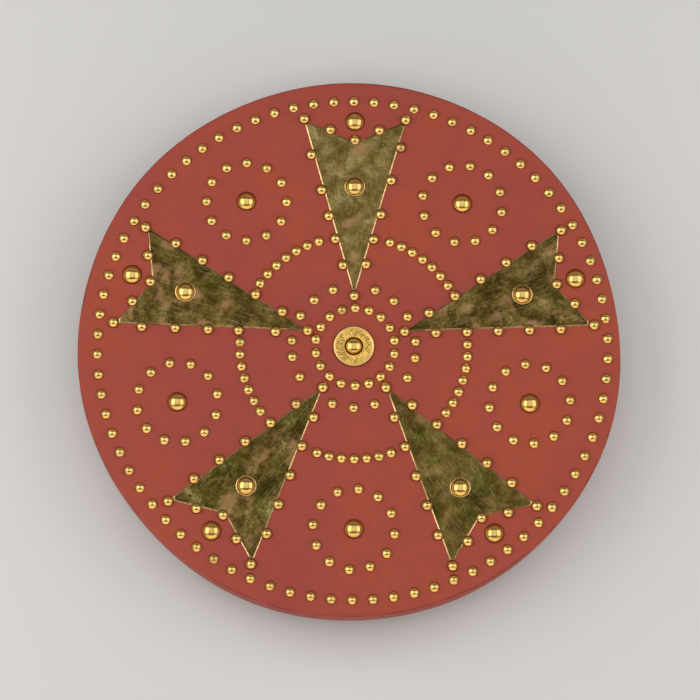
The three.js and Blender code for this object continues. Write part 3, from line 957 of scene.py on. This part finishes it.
def boardSurface(sizes, low, high):
    # x runs across the planks and y is a share of the disc's chord there. The height is the board's
    # underside, a V at each joint, a slight hollow across each plank and shallow plane marks
    radius, groove, width = high[0], sizes["groove"], sizes["plankWidth"]
    x = np.arange(-radius + 0.2, radius, sizes["columnStep"])
    planks = math.ceil(2 * radius / width)
    joints = (np.arange(1, planks) - planks / 2) * width
    near = (joints[:, None] + np.array(sizes["grooveColumns"]) * groove).ravel()
    x = x[abs(x[:, None] - joints).min(1) > 2.6 * groove]
    x = np.sort(np.concatenate([x, near, [radius - 0.2]]))[::-1]
    y = np.linspace(-1, 1, sizes["rowCount"])[:, None] * np.sqrt(radius**2 - x**2)
    x = x + 0 * y
    off = abs(x[..., None] - joints).min(-1)
    depth = sizes["grooveDepth"] * np.clip(1.15 - off / groove, 0, 1)
    arris = 0.35 * np.exp(-((off / (1.5 * groove)) ** 2))
    plank = np.floor(x / width + planks / 2)
    marks = np.sin(x / 8.5 + 2 * plank) * 0.5 + ripples(x * 2.5, y * 0.35, 60, 31)
    z = low[2] + depth + arris + sizes["planeMarks"] * marks * (off > groove)
    # jointShade: painted shade in the V grooves between planks
    return together(x, y, z), {"plank": plank, "jointShade": np.clip(1.3 - off / groove, 0, 1)}


boardLow, boardHigh = nodeBox("wooden_board")
surface, values = boardSurface(board, boardLow, boardHigh)
points, faces = closedSlab(handCut(surface), boardHigh[2])
addPiece("woodenBoard", points, faces, woodMaterial(), "board_wood", ["wooden_board"],
         values={key: np.append(part, 0 * rimOf(part)) for key, part in values.items()})
print("board made:", len(points), "points")


# Arm strap and hand grip

straps = {  # piece, and thickness of the leather
    "arm_strap": ("armStrap", 4),
    "hand_grip": ("handGrip", 7),
}
loop = {
    "crown": 34,  # half the length of the flat that lies on the floor
    "leg": 32,
    "foot": 30,
    "steps": 15,  # along a leg
    "waist": 0.045,  # share by which a leg's middle is narrower
    "edgeRound": 1.5,
    "creaseFrom": 3.4,  # from the edge to the pressed line
    "crease": 0.28,
    "stitchFrom": 5.6,
    "stitchPitch": 6.4,
    "stitchLength": 4.4,
    "stitchRadius": 0.62,
}


def strapMaterial():
    # dark brown waxed leather, darker along its edges, with fine pores and creases across it
    material, tree, place = startMaterial("strapLeather", Specular_IOR_Level=0.4)
    clouds = noise(tree, place, 38, 5, 0.6, 0.3)
    colour = ramp(tree, clouds, [
        (0.3, (0.07, 0.028, 0.014)),
        (0.52, (0.125, 0.055, 0.027)),
        (0.75, (0.2, 0.095, 0.05)),
    ])
    rub = rescale(tree, noise(tree, place, 210, 4), 0.35, 0.65, 0.2, 0.8)
    edge = times(tree, pieceValue(tree, "edge"), rub)
    colour = blended(tree, edge, colour, (0.045, 0.02, 0.012))
    creases = noise(tree, stretched(tree, place, (60, 420, 420)), 1, 5, 0.6, 0.8)
    normal = bump(tree, cells(tree, place, 700), 0.00009, 0.5)
    normal = bump(tree, creases, 0.00022, 0.45, normal)
    rough = rescale(tree, clouds, 0.3, 0.7, 0.56, 0.4)
    return setShader(material, Base_Color=colour, Roughness=rough, Normal=normal)


def threadMaterial():
    # waxed linen with the twist of its strands
    material, tree, place = startMaterial("linenThread", Roughness=0.65, Specular_IOR_Level=0.25)
    twist = noise(tree, place, 1500, 2)
    colour = ramp(tree, twist, [(0.35, (0.3, 0.23, 0.14)), (0.65, (0.56, 0.47, 0.33))])
    return setShader(material, Base_Color=colour, Normal=bump(tree, twist, 0.0001, 0.6))


def ironMaterial():
    # forged iron, nearly black, with brown rust in the hollows
    material, tree, place = startMaterial("forgedIron", Metallic=0.85)
    scale = noise(tree, place, 330, 6, 0.65, 0.5)
    colour = ramp(tree, scale, [
        (0.35, (0.1, 0.045, 0.025)),
        (0.5, (0.085, 0.078, 0.072)),
        (0.75, (0.16, 0.15, 0.145)),
    ])
    rough = rescale(tree, scale, 0.3, 0.7, 0.72, 0.42)
    normal = bump(tree, scale, 0.0002, 0.6)
    return setShader(material, Base_Color=colour, Roughness=rough, Normal=normal)


def loopLine(sizes, thickness, boardLevel):
    # the middle line (y, z) and its normals: flat feet, legs that follow half a cosine, a flat crown
    foot = boardLevel - gap - thickness / 2
    crown = thickness / 2
    t = np.linspace(0, 1, sizes["steps"] + 1)
    legY = sizes["crown"] + sizes["leg"] * (1 - t)
    legZ = crown + (foot - crown) / 2 * (1 + np.cos(np.pi * t))
    end = sizes["crown"] + sizes["leg"] + sizes["foot"]
    footY = end - np.array([0, 0.5, 1.6, 6, 15, 24])
    half = np.vstack([together(footY, foot), together(legY, legZ)])
    flat = np.linspace(sizes["crown"], -sizes["crown"], 11)[1:-1]
    line = np.vstack([half, together(flat, crown), half[::-1] * (-1, 1)])
    return line, normals(line)


def strapSection(sizes, width, thickness):
    # (across, through) round a strap: flat faces with a pressed line near each edge, and round edges
    r = min(sizes["edgeRound"], thickness / 2)
    half = width / 2
    crease = half - sizes["creaseFrom"]
    side = np.array([half - r, crease + 0.8, crease, crease - 0.8])
    across = np.concatenate([side, np.linspace(crease - 3, 3 - crease, 7), -side[::-1]])
    press = sizes["crease"] * np.exp(-(((abs(across) - crease) / 0.5) ** 2))
    face = together(across, thickness / 2 - press)
    turn = np.linspace(0, np.pi, 9)[1:-1]
    edge = together(-(half - r) - r * np.sin(turn), thickness / 2 * np.cos(turn))
    section = np.vstack([face, edge, face[::-1] * (1, -1), edge[::-1] * (-1, 1)])
    return section, smoothStep(abs(section[:, 0]), half - r - 0.8, half - r * 0.5)


def loopSolid(sizes, x, width, thickness, boardLevel):
    # the section carried along the middle line, drawn in over the last millimetres of each foot, with
    # a slight pull inwards at the bends, as a strap under load has
    line, normal = loopLine(sizes, thickness, boardLevel)
    section, nearEdge = strapSection(sizes, width, thickness)
    rounding = sizes["edgeRound"]
    fromEnd = np.clip((line[0, 0] - abs(line[:, :1])) / rounding, 0.1, 1)
    draw = np.sqrt(1 - (1 - fromEnd) ** 2)
    halfLeg = sizes["leg"] / 2
    leg = smoothStep(abs(abs(line[:, :1]) - sizes["crown"] - halfLeg), halfLeg, 0)
    across = section[:, 0] * (1 - sizes["waist"] * leg) * (1 - (1 - draw) * rounding / (width / 2))
    through = section[:, 1] * draw
    y = line[:, :1] + normal[:, :1] * through
    z = line[:, 1:] + normal[:, 1:] * through
    points = together(x + across, y, z)
    return points, tubeFaces(*points.shape[:2]), np.tile(nearEdge, len(line))


def stitches(sizes, x, width, thickness, boardLevel):
    # short rounded rods along both edges on both faces, each sunk at its ends into the leather
    line, normal = loopLine(sizes, thickness, boardLevel)
    length = np.append(0, np.cumsum(np.linalg.norm(np.diff(line, axis=0), axis=1)))
    pitch, radius = sizes["stitchPitch"], sizes["stitchRadius"]
    count = int((length[-1] - 8) // pitch)
    middles = length[-1] / 2 + (np.arange(count) - (count - 1) / 2) * pitch
    t = np.array([-1, -0.8, -0.35, 0.35, 0.8, 1])
    size = radius * np.array([0.35, 0.85, 1, 1, 0.85, 0.35])[:, None]
    ring = circle(6)
    at = middles[:, None] + t * sizes["stitchLength"] / 2
    y, z, outY, outZ = (np.interp(at, length, part)[..., None] for part in (*line.T, *normal.T))
    rods = []
    for side in (1, -1):
        for face in (1, -1):
            edge = x + side * (width / 2 - sizes["stitchFrom"])
            sink = thickness / 2 - 0.1 - 0.45 * abs(t[:, None]) ** 3
            across, through = face * size * np.cos(ring), face * (sink + size * np.sin(ring))
            rods.append(together(edge + across, y + outY * through, z + outZ * through))
    rods = np.concatenate(rods)
    count, rows, columns = rods.shape[:3]
    return rods, copiedFaces(tubeFaces(rows, columns), count, rows * columns)


strapLook, threadLook = strapMaterial(), threadMaterial()
for node, (pieceName, thickness) in straps.items():
    low, high = nodeBox(node)
    sizes = (loop, (low[0] + high[0]) / 2, high[0] - low[0], thickness, boardLow[2])
    points, faces, nearEdge = loopSolid(*sizes)
    addPiece(pieceName, points, faces, strapLook, "strap_leather", [node], values={"edge": nearEdge})
    addPiece(f"{pieceName}Stitches", *stitches(*sizes), threadLook, "strap_leather")
print("strap and grip made")


# Nails on the back

nail = {"sides": 9, "height": 2.6, "radius": 6, "sunk": 0.2}
lipTack = {"count": 44, "fromEdge": 17.5, "radius": 3.9, "height": 1.5, "sides": 9, "sunk": 0.1}
hammered = 18  # least angle between two facets that stays sharp


def forgedHead(sizes, seed):
    # a low head with hammered facets: ring radii and heights shaken by a few per cent, point down
    rng = np.random.default_rng(seed)
    shares = np.array([(0.88, 0), (1, 0.25), (0.8, 0.72), (0.42, 0.95)])
    points, faces = turnedSolid(shares * (sizes["radius"], sizes["height"]), sizes["sides"])
    shake = rng.normal(0, 0.045, (len(points), 1)).clip(-0.08, 0.08)
    points[:, :2] *= 1 - abs(shake)
    points[:-2, 2] *= 1 + rng.normal(0, 0.05, len(points) - 2).clip(-0.1, 0.05)
    points[-1, 2] = sizes["height"]
    return points * (1, -1, -1) + (0, 0, sizes["sunk"]), faces


ironLook = ironMaterial()
nailNodes = [name for name in sorted(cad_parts) if "_nail_" in name]
for i, name in enumerate(nailNodes):
    points, faces = forgedHead(nail, 200 + i)
    placed = points + (*nodeFoot(name)[:2], nodeBox(name)[1][2])
    addPiece(f"{name}Forged", placed, faces, ironLook, "nail_iron", [name], sharpAngle=hammered)
count = lipTack["count"]
places = aroundAxis(shieldRadius - lipTack["fromEdge"], circle(count, 0.5), coverLow[2])
heads = [forgedHead(lipTack, 300 + i) for i in range(count)]
points = np.stack([points for points, _ in heads]) + places[:, None]
faces = copiedFaces(heads[0][1], count, points.shape[1])
addPiece("lipTacks", points, faces, ironLook, "nail_iron", sharpAngle=hammered)
print("nails made:", len(nailNodes) + count)
